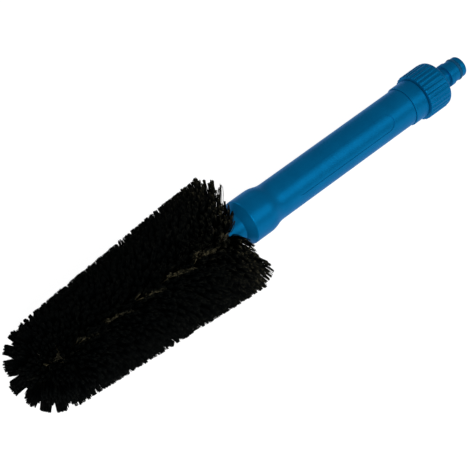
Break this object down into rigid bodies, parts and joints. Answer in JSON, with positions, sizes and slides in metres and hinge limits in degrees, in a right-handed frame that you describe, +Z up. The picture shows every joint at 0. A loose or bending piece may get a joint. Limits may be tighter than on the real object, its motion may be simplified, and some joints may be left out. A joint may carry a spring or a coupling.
{
  "type": "wheel brush",
  "caption": "Water-fed round wheel brush: tapered tufted bristle head on a straight tubular handle with a click-fit hose connector.",
  "frame": {"origin": "on the long axis, at the middle of the hose nipple's front sealing land", "axes": "+X along the long axis out of the hose nipple, the bristle tip points to -X; +Z up, with the grip's recessed panel facing between +Z and -Y"},
  "size_m": [0.4218, 0.0894, 0.0894],
  "materials": {
    "blue_plastic": "satin moulded polypropylene",
    "black_bristle": "cut nylon bristle",
    "tan_core": "matt moulded plastic",
    "black_rubber": "nitrile rubber",
    "staple_brass": "plain wire"
  },
  "bodies": {
    "handle": {"handle_body": "blue_plastic", "rear_spigot": "blue_plastic", "head_hub": "blue_plastic", "hub_o_ring": "black_rubber", "bristle_core": "tan_core", "core_end_cap": "tan_core", "tuft_anchors": "staple_brass", "bristle_ring_01": "black_bristle", "bristle_ring_02": "black_bristle", "bristle_ring_03": "black_bristle", "bristle_ring_04": "black_bristle", "bristle_ring_05": "black_bristle", "bristle_ring_06": "black_bristle", "bristle_ring_07": "black_bristle", "bristle_ring_08": "black_bristle", "bristle_ring_09": "black_bristle", "bristle_ring_10": "black_bristle", "bristle_ring_11": "black_bristle", "bristle_ring_12": "black_bristle", "tip_bristles_1": "black_bristle", "tip_bristles_2": "black_bristle", "tip_bristles_3": "black_bristle", "tip_bristles_4": "black_bristle"},
    "tail": {"hose_nipple": "blue_plastic", "nipple_o_ring": "black_rubber", "flange_washer": "black_rubber"},
    "nut": {"union_nut": "blue_plastic"}
  },
  "joints": [
    {"name": "nut_travel", "type": "slide", "parent": "handle", "child": "tail", "axis": [1, 0, 0], "range_m": [0, 0.01091]},
    {"name": "nut_turn", "type": "hinge", "parent": "tail", "child": "nut", "pos_m": [-0.034, 0, 0], "axis": [1, 0, 0], "range_deg": [0, 2160]}
  ],
  "couplings": [
    {"joint": "nut_travel", "follows": "nut_turn", "m_per_rad": 0.00028871}
  ]
}
